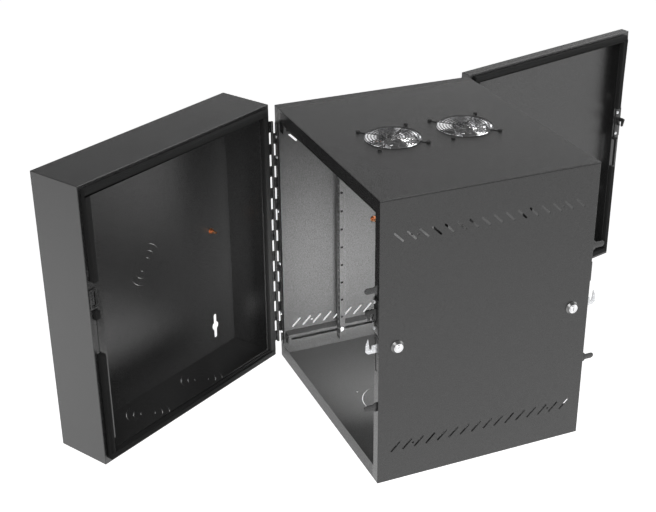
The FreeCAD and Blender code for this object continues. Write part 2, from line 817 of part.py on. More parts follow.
def rack_rail(side, y_face, deeper):
    """Upright L rail with the standard three holes a unit; deeper is the side leg's way."""
    inner = side * rail_opening / 2
    outer = side * rail_outer
    low = rail_end_margin - rail_overrun
    high = cabinet_height - low
    face = box((inner, outer), (y_face, y_face + deeper * rail_sheet), (low, high))
    leg = box((outer - side * rail_sheet, outer), (y_face, y_face + deeper * rail_side_depth),
              (low, high))
    cutters = []
    hole_x = side * rail_hole_spacing / 2
    for unit in range(rack_units):
        foot = rail_end_margin + unit * unit_pitch
        for share in (1 / 7, 1 / 2, 6 / 7):
            centre = Vector(hole_x, y_face + deeper * rail_sheet / 2, foot + share * unit_pitch)
            cutters.append(round_hole(centre, Y_AXIS, rail_hole_diameter, 3 * rail_sheet))
        if unit:
            centre = Vector(outer - side * rail_sheet / 2, y_face + deeper * rail_side_depth / 2,
                            foot)
            cutters.append(long_hole(centre, Y_AXIS, X_AXIS, rail_slot_length, rail_slot_width,
                                     3 * rail_sheet))
    for bolt_z in rail_bolt_heights():
        centre = Vector(outer - side * rail_sheet / 2, y_face + deeper * rail_side_depth / 2, bolt_z)
        cutters.append(round_hole(centre, X_AXIS, 2 * rail_bolt_shank, 3 * rail_sheet))
    return cut_all(fused([face, leg]), cutters)


def rail_bolt_heights():
    """Heights of the bolts that hold a rail to the lower and upper mounting angles."""
    rise = angle_base + angle_slot_rise
    return (rise, cabinet_height - rise)


def rail_bolts(side, y_face, deeper):
    """Bolt and nut through a rail's side leg and the angle's slot, at both ends."""
    outer = side * rail_outer
    y = y_face + deeper * rail_side_depth / 2
    inside = outer - side * rail_sheet
    outside = outer + side * angle_sheet
    normal = Vector(side, 0, 0)
    bolts = []
    for z in rail_bolt_heights():
        head = rod((inside - side * rail_bolt_head, y, z), (inside, y, z), rail_bolt_radius)
        shank = rod((inside, y, z), (outside, y, z), rail_bolt_shank)
        nut = hexagon(Vector(outside, y, z), normal, 2 * rail_bolt_radius, rail_bolt_head)
        bolts.append(fused([head, shank, nut]))
    return bolts


# ------------------------------------------------------------------ roof fans
def fan_places():
    """Y of the two fans, both on the cabinet's centre line."""
    return (centre_mid_y + fan_spacing / 2, centre_mid_y - fan_spacing / 2)


def fan_corners():
    """Screw places of a fan, as offsets from its centre."""
    half = fan_hole_spacing / 2
    return [(x, y) for x in (-half, half) for y in (-half, half)]


def fan_frame(y):
    """Square die-cast frame with its motor seat on four struts."""
    top = cabinet_height - shell_sheet
    low = top - fan_depth
    half = fan_size / 2
    body = box((-half, half), (y - half, y + half), (low, top))
    uprights = [edge for edge in body.Edges
                if abs(edge.BoundBox.ZMax - edge.BoundBox.ZMin - fan_depth) < 0.01]
    body = body.makeFillet(fan_corner_radius, uprights)
    body = body.cut(rod((0, y, low - 1), (0, y, top + 1), fan_bore / 2))
    struts = []
    for turn in range(4):
        strut = box((fan_hub_radius - 2, fan_bore / 2 + 2),
                    (-fan_strut_width / 2, fan_strut_width / 2), (low, low + fan_strut_width))
        strut.rotate(Vector(0, 0, 0), Z_AXIS, 45.0 + 90.0 * turn)
        strut.translate(Vector(0, y, 0))
        struts.append(strut)
    seat = rod((0, y, low), (0, y, low + fan_motor_height), fan_hub_radius)
    frame = fused([body, seat] + struts)
    cutters = [rod((0, y, low - 1), (0, y, top), fan_shaft_radius + fan_shaft_air)]
    for x, dy in fan_corners():
        cutters.append(rod((x, y + dy, low - 1), (x, y + dy, top + 1), guard_screw_radius))
    return cut_all(frame, cutters)


def fan_rotor(y):
    """Hub with pitched blades and the shaft that turns in the motor seat."""
    top = cabinet_height - shell_sheet
    low = top - fan_depth
    hub_low = low + fan_motor_height + fan_tip_air
    hub_high = top - fan_tip_air
    hub = rod((0, y, hub_low), (0, y, hub_high), fan_hub_radius)
    tip_radius = fan_bore / 2 - fan_tip_air
    swept = rod((0, y, hub_low), (0, y, hub_high), tip_radius)
    blades = []
    for number in range(fan_blades):
        blade = box((fan_hub_radius - 2, fan_bore), (-fan_blade_chord / 2, fan_blade_chord / 2),
                    (-fan_blade_sheet / 2, fan_blade_sheet / 2))
        blade.rotate(Vector(0, 0, 0), X_AXIS, fan_blade_pitch)
        blade.rotate(Vector(0, 0, 0), Z_AXIS, 360.0 * number / fan_blades)
        blade.translate(Vector(0, y, (hub_low + hub_high) / 2))
        blades.append(blade.common(swept))
    shaft = rod((0, y, low), (0, y, hub_low), fan_shaft_radius)
    return fused([hub, shaft] + blades)


def fan_guard(y):
    """Wire guard on the roof: rings on two crossed wires that end in screw loops."""
    foot = cabinet_height
    ring_z = foot + guard_ring_lift
    wire = guard_wire / 2
    pieces = [Part.makeTorus((ring + 2) * guard_ring_pitch, wire, Vector(0, y, ring_z), Z_AXIS)
              for ring in range(guard_rings)]
    corner = fan_hole_spacing / math.sqrt(2)
    for turn in (45.0, 135.0):
        reach = corner - guard_loop_radius + wire
        spoke = rod((-reach, 0, 0), (reach, 0, 0), wire)
        spoke.rotate(Vector(0, 0, 0), Z_AXIS, turn)
        spoke.translate(Vector(0, y, foot + wire))
        pieces.append(spoke)
    for x, dy in fan_corners():
        pieces.append(Part.makeTorus(guard_loop_radius - wire, wire,
                                     Vector(x, y + dy, foot + wire), Z_AXIS))
    return fused(pieces)


def fan_screws(y):
    """Four screws through guard, roof and fan frame."""
    screws = []
    low = cabinet_height - shell_sheet - fan_depth
    for x, dy in fan_corners():
        shank = rod((x, y + dy, low), (x, y + dy, cabinet_height + guard_wire), guard_screw_radius)
        head = rod((x, y + dy, cabinet_height + guard_wire),
                   (x, y + dy, cabinet_height + guard_wire + guard_screw_head),
                   guard_loop_radius)
        screws.append(fused([shank, head]))
    return screws


# ------------------------------------------------------------------ ground studs
def ground_stud(foot, normal):
    """Copper stud welded to a panel, with its washer and nut."""
    stud = Part.makeCylinder(stud_radius, stud_length, foot, normal)
    washer = Part.makeCylinder(stud_washer_radius, stud_washer_sheet, foot, normal)
    washer = washer.cut(stud)
    nut_foot = foot + normal * stud_washer_sheet
    nut = hexagon(nut_foot, normal, stud_nut_across, stud_nut_height).cut(stud)
    return stud, washer, nut


# ------------------------------------------------------------------ the assembly
wall_section()
wall_stiffener()
centre_section()
door()

below_receiver = receiver_window()[1][0] - receiver_end_border - gasket_block_gap
below_catch_plate = catch_mid_height - catch_plate_height / 2 - gasket_end_air
add("wall_gasket", "wall", *gasket(wall_front_y, -1, wall_gasket_inset_lock, gasket_height,
                                   below_receiver, gasket_block_height))
add("door_gasket", "door", *gasket(door_rear_y, 1, door_gasket_inset_lock, door_gasket_height,
                                   below_catch_plate, door_gasket_height))

for prefix, pin, near, far in (("rear", wall_pin_y, "wall", "centre"),
                               ("front", door_pin_y, "centre", "door")):
    add(prefix + "_hinge_fixed_leaf", near, hinge_leaf(pin, 1))
    add(prefix + "_hinge_moving_leaf", far, hinge_leaf(pin, -1))
    add(prefix + "_hinge_pin", near, hinge_pin(pin))
    add(prefix + "_hinge_fixed_screws", near, *hinge_screws(pin, 1))
    add(prefix + "_hinge_moving_screws", far, *hinge_screws(pin, -1))

key_lock("rear", centre_rear_y, 1)
key_lock("front", centre_front_y, -1)

add("rear_guide_tabs", "centre", *guide_tabs(centre_rear_y, 1))
add("front_guide_tabs", "centre", *guide_tabs(centre_front_y, -1))
add("rear_snap_catch", "centre", snap_catch(centre_rear_y, 1))
add("rear_catch_screws", "centre", *catch_screws(centre_rear_y, 1))
add("wall_catch_receiver", "wall", catch_receiver(wall_front_y, -1))
add("door_snap_catch", "door", snap_catch(door_rear_y, 1))
add("door_catch_screws", "door", *catch_screws(door_rear_y, 1))
add("front_catch_receiver", "centre", catch_receiver(centre_front_y, -1))

rear_rail_y = centre_rear_y - rail_setback
front_rail_y = centre_front_y + rail_setback
for side, side_name in ((1, "hinge_side"), (-1, "lock_side")):
    add(side_name + "_mounting_angles", "centre",
        mounting_angle(side, False), mounting_angle(side, True))
    for place_name, rail_y, deeper in (("rear", rear_rail_y, -1), ("front", front_rail_y, 1)):
        add(place_name + "_rail_" + side_name, "centre", rack_rail(side, rail_y, deeper))
        add("rail_bolts", "centre", *rail_bolts(side, rail_y, deeper))

for number, fan_y in enumerate(fan_places(), start=1):
    add("fan_%d_frame" % number, "centre", fan_frame(fan_y))
    add("fan_%d_rotor" % number, "centre", fan_rotor(fan_y))
    add("fan_%d_guard" % number, "centre", fan_guard(fan_y))
    add("fan_%d_screws" % number, "centre", *fan_screws(fan_y))

wall_stud = ground_stud(Vector(half_width - ground_stud_inset, -shell_sheet, mid_height),
                        Vector(0, -1, 0))
add("wall_ground_stud", "wall", *wall_stud)
nut_foot = Vector(half_width - shell_sheet, wall_front_y + bonding_nut_setback, bonding_nut_height)
bonding_nut = hexagon(nut_foot, Vector(-1, 0, 0), bonding_nut_across, bonding_nut_thickness)
bore = round_hole(nut_foot, X_AXIS, bonding_nut_bore, 3 * bonding_nut_thickness)
add("wall_bonding_nut", "wall", bonding_nut.cut(bore))
centre_stud = ground_stud(Vector(half_width - shell_sheet, centre_mid_y, mid_height),
                          Vector(-1, 0, 0))
add("centre_ground_stud", "centre", *centre_stud)

os.makedirs("parts", exist_ok=True)
for name, solids in PARTS.items():
    Part.makeCompound(solids).exportStep("parts/" + name + ".step")
    volume = sum(solid.Volume for solid in solids)
    print("%-28s %2d solids %10.0f mm3 valid %s"
          % (name, len(solids), volume, all(solid.isValid() for solid in solids)))
print(len(PARTS), "nodes")
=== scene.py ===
# %% [markdown]
# # A double-hinged network cabinet for a wall
#
# This is a steel cabinet for network equipment, shown open. A shallow section stays on the wall,
# the section with the rack rails swings out from it, and a door swings from that one. The CAD
# model holds every piece at its real size and place. Blender adds the finishes, the studio and
# the small pieces whose looks are in their details, such as fan blades, lock faces and screws.

# %% Load the cabinet as a fixed frame
import json
import math

import bmesh
import bpy
from mathutils import Euler, Matrix, Vector


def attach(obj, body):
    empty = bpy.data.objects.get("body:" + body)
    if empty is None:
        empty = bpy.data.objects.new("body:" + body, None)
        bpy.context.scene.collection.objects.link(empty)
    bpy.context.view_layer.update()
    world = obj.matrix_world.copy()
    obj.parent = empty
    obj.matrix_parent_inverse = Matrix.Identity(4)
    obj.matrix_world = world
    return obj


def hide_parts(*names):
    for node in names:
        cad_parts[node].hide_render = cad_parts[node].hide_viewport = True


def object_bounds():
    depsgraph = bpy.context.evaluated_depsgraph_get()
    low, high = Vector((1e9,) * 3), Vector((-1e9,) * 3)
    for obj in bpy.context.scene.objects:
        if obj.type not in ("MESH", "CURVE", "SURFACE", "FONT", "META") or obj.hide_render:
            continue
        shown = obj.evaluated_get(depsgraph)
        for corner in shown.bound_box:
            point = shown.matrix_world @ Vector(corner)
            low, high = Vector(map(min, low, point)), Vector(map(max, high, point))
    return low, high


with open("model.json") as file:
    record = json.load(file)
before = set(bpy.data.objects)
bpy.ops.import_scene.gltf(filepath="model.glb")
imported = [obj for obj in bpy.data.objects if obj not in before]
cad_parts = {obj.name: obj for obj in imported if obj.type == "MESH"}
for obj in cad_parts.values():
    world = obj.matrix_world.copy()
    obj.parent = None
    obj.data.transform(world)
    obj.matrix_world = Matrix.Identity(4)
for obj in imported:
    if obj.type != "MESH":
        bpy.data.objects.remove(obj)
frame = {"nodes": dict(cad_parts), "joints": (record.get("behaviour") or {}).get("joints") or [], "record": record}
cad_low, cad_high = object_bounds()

MM = 0.001
scene = bpy.context.scene
nodes = frame["nodes"]
joints = {joint["name"]: joint for joint in frame["joints"]}
print("CAD box in metres:", [round(high - low, 4) for low, high in zip(cad_low, cad_high)])

# %% [markdown]
# ## Where the three sections stand
#
# At rest the centre section is swung out and the door is swung out further. It would be hard to
# think in turned coordinates, so each piece below is drawn as if the cabinet were shut, with
# X towards the hinges, Y into the wall and Z up. One matrix per section then opens it. The
# matrices come from the joints: a section's rest angle is what its joint turns back to shut it.

# %% A matrix for each section
def about(pin, angle):
    """Turn about an upright pin."""
    return Matrix.Translation(pin) @ Matrix.Rotation(angle, 4, "Z") @ Matrix.Translation(-pin)


def open_angle(joint):
    """Angle from shut to rest, in radians."""
    return math.radians(-joints[joint]["range_deg"][0])


wall_pin = Vector(joints["centre_swing"]["pos_m"])
open_centre = about(wall_pin, open_angle("centre_swing"))
door_pin = open_centre.inverted() @ Vector(joints["door_swing"]["pos_m"])
PLACE = {
    "wall": Matrix.Identity(4),
    "centre": open_centre,
    "door": open_centre @ about(door_pin, open_angle("door_swing")),
}
BODY = {"wall": "wall_section", "centre": "centre_section", "door": "front_door"}


def shut_box(node, section):
    """Lowest and highest corners of a CAD node with the cabinet shut."""
    back = PLACE[section].inverted() @ nodes[node].matrix_world
    points = [back @ vertex.co for vertex in nodes[node].data.vertices]
    return (Vector(map(min, zip(*points))), Vector(map(max, zip(*points))))


wall_low, wall_high = shut_box("wall_section_frame", "wall")
centre_low, centre_high = shut_box("centre_lock_side_panel", "centre")
door_low, door_high = shut_box("door_panel", "door")
print("shut depths in mm:", [round(-y / MM, 1) for y in (wall_low.y, centre_low.y, door_low.y)])

# %% [markdown]
# ## The camera
#
# The camera looks down on the lock side of the open cabinet from about three metres. The lens is
# a short telephoto, so the upright edges still lean together a little. A small shift keeps the
# cabinet off the middle of the frame without turning the view.

# %% Place the camera
camera_data = bpy.data.cameras.new("camera")
camera_data.lens = 71.03
camera_data.shift_x = -0.04488
camera_data.shift_y = 0.01375
camera_data.clip_start = 0.05
camera = bpy.data.objects.new("camera", camera_data)
camera.location = (-1.68677, -1.79894, 1.24145)
camera.rotation_euler = Euler([math.radians(a) for a in (62.8815, -0.0999, -53.5715)])
scene.collection.objects.link(camera)
scene.camera = camera
scene.view_settings.view_transform = "Standard"

# %% [markdown]
# ## Studio
#
# Black paint shows its surroundings more than itself, so the studio matters as much as the paint.
# The floor is a pale sheet well below the cabinet, which hangs on a wall in use. The world is
# white at and below the horizon and grey above it, which keeps the roof a calm dark tone in
# reflections. Where the world only lights, it is dim, and the lamps give the shape. The world and
# the floor look brighter to the camera and to mirrors than they light the cabinet.

# %% World and floor
def link_math(tree, operation, *values):
    """Math node on sockets or numbers; returns its output."""
    node = tree.nodes.new("ShaderNodeMath")
    node.operation = operation
    for slot, value in enumerate(values):
        if isinstance(value, bpy.types.NodeSocket):
            tree.links.new(value, node.inputs[slot])
        else:
            node.inputs[slot].default_value = value
    return node.outputs[0]


def ramp(tree, value, low, high, at_low, at_high):
    """Smooth step from one value to another."""
    node = tree.nodes.new("ShaderNodeMapRange")
    node.interpolation_type = "SMOOTHSTEP"
    numbers = {"From Min": low, "From Max": high, "To Min": at_low, "To Max": at_high}
    for name, number in numbers.items():
        node.inputs[name].default_value = number
    tree.links.new(value, node.inputs["Value"])
    return node.outputs["Result"]


def studio_world(lighting, dim, bright, side):
    """Dim light for matt surfaces; mirrors see white below and a grey sky, paler to one side."""
    world = bpy.data.worlds.new("studio")
    world.use_nodes = True
    scene.world = world
    tree = world.node_tree
    place = tree.nodes.new("ShaderNodeTexCoord")
    split = tree.nodes.new("ShaderNodeSeparateXYZ")
    tree.links.new(place.outputs["Generated"], split.inputs["Vector"])
    turn = math.radians(side)
    sideways = link_math(tree, "ADD", link_math(tree, "MULTIPLY", split.outputs["X"], math.cos(turn)),
                         link_math(tree, "MULTIPLY", split.outputs["Y"], math.sin(turn)))
    sky = ramp(tree, sideways, -0.1, 0.5, dim, bright)
    above = ramp(tree, split.outputs["Z"], 0.05, 0.3, 0.0, 1.0)
    fall = link_math(tree, "MULTIPLY", above, link_math(tree, "SUBTRACT", sky, 1.0))
    mirrored = link_math(tree, "ADD", fall, 1.0)
    path = tree.nodes.new("ShaderNodeLightPath")
    shiny = link_math(tree, "MAXIMUM", path.outputs["Is Glossy Ray"],
                      path.outputs["Is Transmission Ray"])
    matt = link_math(tree, "MULTIPLY", link_math(tree, "SUBTRACT", 1.0, shiny), lighting)
    strength = link_math(tree, "ADD", link_math(tree, "MULTIPLY", mirrored, shiny), matt)
    strength = link_math(tree, "MAXIMUM", strength, path.outputs["Is Camera Ray"])
    tree.links.new(strength, tree.nodes["Background"].inputs["Strength"])
    tree.nodes["Background"].inputs["Color"].default_value = (1, 1, 1, 1)


studio_world(lighting=0.12, dim=0.15, bright=0.34, side=-40)

floor_drop = 1.2
bpy.ops.mesh.primitive_plane_add(size=60, location=(0, 0, cad_low.z - floor_drop))
floor = bpy.context.object
floor.name = "studio_floor"
floor_paint = bpy.data.materials.new("studio_floor")
floor_paint.use_nodes = True
floor_tree = floor_paint.node_tree
floor_shader = floor_tree.nodes["Principled BSDF"]
floor_shader.inputs["Base Color"].default_value = (0.8, 0.8, 0.8, 1)
floor_shader.inputs["Roughness"].default_value = 0.9
floor_shader.inputs["Specular IOR Level"].default_value = 0.1
floor_shader.inputs["Emission Color"].default_value = (1, 1, 1, 1)
floor_path = floor_tree.nodes.new("ShaderNodeLightPath")
floor_seen = floor_path.outputs["Is Camera Ray"]
for kind in ("Is Glossy Ray", "Is Transmission Ray"):
    floor_seen = link_math(floor_tree, "MAXIMUM", floor_seen, floor_path.outputs[kind])
glow = link_math(floor_tree, "MULTIPLY", floor_seen, 0.9)
floor_tree.links.new(glow, floor_shader.inputs["Emission Strength"])
floor.data.materials.append(floor_paint)

# %% [markdown]
# ## Lamps
#
# Five soft boxes stand round the cabinet two or three metres off, each given by the direction it
# shines from, its size and its brightness. Together they light a matt white card to about white.
# The section with the rails is a deep box that no outside lamp reaches, so two small lamps hang in
# it: a round one in the middle, and a square one that sends light along the hinge side. They ride
# with that section when it swings, and leave no image of themselves in the paint.

# %% Place the lamps
middle = (cad_low + cad_high) / 2


def soft_box(name, azimuth, elevation, distance, width, height, brightness):
    """Rectangular lamp that faces the cabinet; brightness 1 looks white."""
    lamp_data = bpy.data.lights.new(name, "AREA")
    lamp_data.shape = "RECTANGLE"
    lamp_data.size = width
    lamp_data.size_y = height
    lamp_data.energy = brightness * math.pi * width * height
    lamp = bpy.data.objects.new(name, lamp_data)
    flat = math.cos(math.radians(elevation))
    way = Vector((flat * math.cos(math.radians(azimuth)), flat * math.sin(math.radians(azimuth)),
                  math.sin(math.radians(elevation))))
    lamp.location = middle + way * distance
    lamp.rotation_euler = (-way).to_track_quat("-Z", "Y").to_euler()
    lamp.visible_camera = False
    scene.collection.objects.link(lamp)


soft_box("top_lamp", 20, 80, 1.8, 1.0, 1.0, 3.9)
soft_box("right_lamp", -22, 37, 2.2, 1.2, 1.2, 2.8)
soft_box("left_lamp", -155, 32, 3.0, 1.6, 1.5, 5.0)
soft_box("front_lamp", -60, 12, 3.0, 2.4, 1.5, 2.6)
soft_box("rear_lamp", 145, -24, 3.0, 2.8, 1.2, 0.4)

section_middle = (centre_low + centre_high) / 2
inside_lamps = [
    # kind, size in metres, watts, place in the shut section, direction it shines
    ("POINT", 0.1, 2.4, Vector((-0.03, section_middle.y - 0.05, -0.14)), Vector((1, 0, 0))),
    ("AREA", 0.2, 4.0, Vector((-0.16, centre_high.y - 0.07, -0.12)), Vector((0.92, -0.3, 0))),
]
for number, (kind, size, watts, place, way) in enumerate(inside_lamps, 1):
    inside = bpy.data.lights.new("inside_lamp_%d" % number, kind)
    inside.energy = watts
    if kind == "AREA":
        inside.size = size
        inside.spread = math.radians(110)
    else:
        inside.shadow_soft_size = size / 2
    lamp = bpy.data.objects.new(inside.name, inside)
    facing = way.to_track_quat("-Z", "Y").to_matrix().to_4x4()
    lamp.matrix_world = PLACE["centre"] @ Matrix.Translation(place) @ facing
    lamp.visible_camera = False
    lamp.visible_glossy = False
    scene.collection.objects.link(lamp)
    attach(lamp, BODY["centre"])

# %% [markdown]
# ## Powder coat
#
# Nearly all of the cabinet is black powder coat: a satin skin with a fine grain. The grain is
# noise in the object's own metres, so that it has the same size on every panel. It drives a low
# bump, and a second noise makes the gloss uneven.

# %% Make the powder coat
def principled(name, colour, roughness, metallic=0.0, specular=0.5):
    """New material with its shader's main values set, and its node tree."""
    material = bpy.data.materials.new(name)
    material.use_nodes = True
    shader = material.node_tree.nodes["Principled BSDF"]
    shader.inputs["Base Color"].default_value = (*colour, 1)
    shader.inputs["Roughness"].default_value = roughness
    shader.inputs["Metallic"].default_value = metallic
    shader.inputs["Specular IOR Level"].default_value = specular
    return material, material.node_tree, shader


def noise(tree, scale):
    """Noise in the object's own metres."""
    place = tree.nodes.new("ShaderNodeTexCoord")
    texture = tree.nodes.new("ShaderNodeTexNoise")
    texture.inputs["Scale"].default_value = scale
    texture.inputs["Detail"].default_value = 2.0
    texture.inputs["Roughness"].default_value = 0.5
    tree.links.new(place.outputs["Object"], texture.inputs["Vector"])
    return texture.outputs["Fac"]


def bump(tree, shader, height, strength, distance):
    """Surface relief from a height."""
    relief = tree.nodes.new("ShaderNodeBump")
    relief.inputs["Strength"].default_value = strength
    relief.inputs["Distance"].default_value = distance
    tree.links.new(height, relief.inputs["Height"])
    tree.links.new(relief.outputs["Normal"], shader.inputs["Normal"])


def spread(tree, value, low, high):
    """Value between 0.3 and 0.7, where noise mostly lies, mapped to low and high."""
    scale = tree.nodes.new("ShaderNodeMapRange")
    scale.inputs["From Min"].default_value = 0.3
    scale.inputs["From Max"].default_value = 0.7
    scale.inputs["To Min"].default_value = low
    scale.inputs["To Max"].default_value = high
    tree.links.new(value, scale.inputs["Value"])
    return scale.outputs["Result"]


def tint(tree, shader, value, dark, light):
    """Base colour between two colours."""
    mix = tree.nodes.new("ShaderNodeMix")
    mix.data_type = "RGBA"
    mix.inputs["A"].default_value = (*dark, 1)
    mix.inputs["B"].default_value = (*light, 1)
    tree.links.new(value, mix.inputs["Factor"])
    tree.links.new(mix.outputs["Result"], shader.inputs["Base Color"])


def powder_coat(name, dark, light, smooth, rough, relief, gloss):
    """Black paint with a fine grain; gloss is the shader's specular level."""
    material, tree, shader = principled(name, light, rough, 0.0, gloss)
    grain = noise(tree, 560.0)
    bump(tree, shader, grain, relief, 0.0006)
    tint(tree, shader, spread(tree, grain, 0.0, 1.0), dark, light)
    tree.links.new(spread(tree, noise(tree, 300.0), smooth, rough), shader.inputs["Roughness"])
    return material


# %% [markdown]
# ## Metals, plastic and foam
#
# Zinc, chrome and copper differ in colour and in how evenly they shine. A slow noise varies each
# one's roughness as handling and plating do, and a fine one gives it a slight relief. The foam of
# the gaskets is matt and full of cells, so its relief comes from a cell pattern.

# %% Make the other finishes
def metal(name, colour, smooth, rough, relief=0.05, metallic=1.0):
    """Bare or plated metal whose roughness wanders between two values."""
    material, tree, shader = principled(name, colour, (smooth + rough) / 2, metallic)
    tree.links.new(spread(tree, noise(tree, 260.0), smooth, rough), shader.inputs["Roughness"])
    bump(tree, shader, noise(tree, 1500.0), relief, 0.0001)
    return material


def moulded(name, colour, lighter, smooth, rough):
    """Moulded or painted skin with a slight mottle."""
    material, tree, shader = principled(name, colour, (smooth + rough) / 2)
    mottle = noise(tree, 420.0)
    tint(tree, shader, spread(tree, mottle, 0.0, 1.0), colour, lighter)
    tree.links.new(spread(tree, noise(tree, 200.0), smooth, rough), shader.inputs["Roughness"])
    bump(tree, shader, mottle, 0.12, 0.0002)
    return material


def foam(name):
    """Black cellular foam."""
    material, tree, shader = principled(name, (0.014, 0.014, 0.014), 0.9, 0.0, 0.2)
    place = tree.nodes.new("ShaderNodeTexCoord")
    cells = tree.nodes.new("ShaderNodeTexVoronoi")
    cells.inputs["Scale"].default_value = 900.0
    tree.links.new(place.outputs["Object"], cells.inputs["Vector"])
    bump(tree, shader, cells.outputs["Distance"], 0.6, 0.0005)
    tint(tree, shader, cells.outputs["Distance"], (0.007, 0.007, 0.007), (0.022, 0.022, 0.022))
    return material


FINISH = {
    "powder_coat": powder_coat("powder_coat", (0.015,) * 3, (0.034,) * 3, 0.18, 0.26, 0.7, 0.72),
    "gasket": foam("gasket"),
    "copper": metal("copper", (0.86, 0.42, 0.22), 0.2, 0.34),
    "zinc": metal("zinc", (0.88, 0.89, 0.91), 0.18, 0.32, metallic=0.45),
    "chrome": metal("chrome", (0.8, 0.8, 0.81), 0.1, 0.18, 0.02),
    # A darker copy of the chrome: painted shade for the lock cones.
    "chrome_painted_shade": metal("chrome_painted_shade", (0.2, 0.2, 0.2), 0.25, 0.4, 0.02),
    "catch_black": moulded("catch_black", (0.012, 0.012, 0.012), (0.022, 0.022, 0.022), 0.22, 0.32),
    "black_screw": metal("black_screw", (0.05, 0.05, 0.05), 0.25, 0.4),
    # Near-black painted shade that closes the rail slots.
    "painted_slot_shade": powder_coat("painted_slot_shade", (0.001,) * 3, (0.003,) * 3, 0.6, 0.7, 0.2, 0.1),
    "guard_wire": moulded("guard_wire", (0.012, 0.012, 0.012), (0.03, 0.03, 0.03), 0.4, 0.5),
    "fan_metal": metal("fan_metal", (0.75, 0.75, 0.76), 0.2, 0.34, 0.1),
    "fan_plastic": metal("fan_plastic", (0.92, 0.92, 0.93), 0.14, 0.22, 0.0),
}
for part in frame["record"]["subparts"]:
    node = nodes[part["node"]]
    node.data.materials.clear()
    node.data.materials.append(FINISH[part["material_slot"]])

# The real cabinet has one paint. This second, paler and rougher version of it is painted light, a choice for
# the look: its paler colour stands in for light inside the centre section, which with the first one alone
# reads too dark beside the outside.
painted_light_coat = powder_coat("painted_light_coat", (0.018,) * 3, (0.066,) * 3, 0.3, 0.44, 1.0, 0.5)
for name in ("centre_hinge_side_panel", "hinge_side_mounting_angles", "centre_floor_panel"):
    nodes[name].data.materials[0] = painted_light_coat

# %% [markdown]
# ## Tools for pieces
#
# Some CAD nodes are right in size but too plain up close: moulded and stamped pieces have soft
# edges that catch a line of light. A piece that takes such a node's place is a copy with bevelled
# edges, or is turned on a lathe, or is lofted. It rides on the node's body.

# %% Helpers for pieces
BODY_OF = {node: body for body, members in frame["record"]["behaviour"]["bodies"].items()
           for node in members}
SLOT_OF = {part["node"]: part["material_slot"] for part in frame["record"]["subparts"]}
SHARP_EDGE = math.radians(35)


def soften(mesh):
    """Shade a mesh smooth, except at edges sharper than SHARP_EDGE."""
    mesh.shade_smooth()
    mesh.set_sharp_from_angle(angle=SHARP_EDGE)


def to_mesh(bm, name):
    """Mesh from bmesh, with its normals outwards and soft shading."""
    bmesh.ops.recalc_face_normals(bm, faces=bm.faces)
    mesh = bpy.data.meshes.new(name)
    bm.to_mesh(mesh)
    bm.free()
    soften(mesh)
    return mesh


def set_piece(name, mesh, node, section=None):
    """Show a mesh on a CAD node's body; a section's mesh is drawn shut and opened here."""
    mesh.materials.clear()
    mesh.materials.append(FINISH[SLOT_OF[node]])
    piece = bpy.data.objects.new(name, mesh)
    scene.collection.objects.link(piece)
    if section:
        piece.matrix_world = PLACE[section]
    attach(piece, BODY_OF[node])
    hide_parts(node)


def rounded(node, width, steps=2):
    """Copy of a CAD node's mesh with its sharp edges rounded."""
    bm = bmesh.new()
    bm.from_mesh(nodes[node].data)
    bmesh.ops.remove_doubles(bm, verts=bm.verts, dist=0.01 * MM)
    bmesh.ops.dissolve_limit(bm, angle_limit=math.radians(1), verts=bm.verts, edges=bm.edges)
    edges = [edge for edge in bm.edges
             if len(edge.link_faces) == 2 and edge.calc_face_angle(0) > math.radians(40)]
    bmesh.ops.bevel(bm, geom=edges, offset=width, segments=steps, affect="EDGES", profile=0.5,
                    clamp_overlap=False)
    return to_mesh(bm, node + "_rounded")


def turned(profile, name, steps=64, loop=False):
    """Mesh turned about X from (along, radius) pairs; a loop is closed on itself."""
    bm = bmesh.new()
    rows = []
    for along, radius in profile:
        count = steps if radius > 0 else 1
        rows.append([bm.verts.new((along, radius * math.cos(2 * math.pi * turn / steps),
                                   radius * math.sin(2 * math.pi * turn / steps)))
                     for turn in range(count)])
    if loop:
        rows.append(rows[0])
    for near, far in zip(rows, rows[1:]):
        for turn in range(steps):
            after = (turn + 1) % steps
            corners = [near[turn % len(near)], near[after % len(near)],
                       far[after % len(far)], far[turn % len(far)]]
            bm.faces.new(list(dict.fromkeys(corners)))
    return to_mesh(bm, name)


def carve(mesh, cutter):
    """Mesh with the cutter's volume taken away."""
    body = bpy.data.objects.new("carve_body", mesh)
    tool = bpy.data.objects.new("carve_tool", cutter)
    scene.collection.objects.link(body)
    scene.collection.objects.link(tool)
    cut = body.modifiers.new("cut", "BOOLEAN")
    cut.object = tool
    cut.solver = "EXACT"
    bpy.context.view_layer.update()
    view = bpy.context.evaluated_depsgraph_get()
    result = bpy.data.meshes.new_from_object(body.evaluated_get(view))
    bpy.data.objects.remove(body)
    bpy.data.objects.remove(tool)
    soften(result)
    return result


# %% [markdown]
# ## Stamped and moulded small parts
#
# Hook cams, tabs, snap catches and nuts keep their CAD shape and get soft edges. The two gaskets
# are foam strips, whose corners are much rounder.

# %% Round the small parts
soft_edges = {
    "rear_hook_cam": 0.35, "front_hook_cam": 0.35, "rear_cam_screw": 0.5, "front_cam_screw": 0.5,
    "rear_lock_nut": 0.4, "front_lock_nut": 0.4, "rear_guide_tabs": 0.35, "front_guide_tabs": 0.35,
    "rear_snap_catch": 0.4, "door_snap_catch": 0.4, "wall_catch_receiver": 0.5,
    "front_catch_receiver": 0.5, "wall_gasket": 1.6, "door_gasket": 1.6, "rail_bolts": 0.4,
    "wall_bonding_nut": 0.4, "wall_ground_stud": 0.3, "centre_ground_stud": 0.3,
}
for node, width in soft_edges.items():
    mesh = rounded(node, width * MM)
    set_piece(node + "_piece", mesh, node)
    print(node, "rounded by", width, "mm,", len(mesh.polygons), "faces")
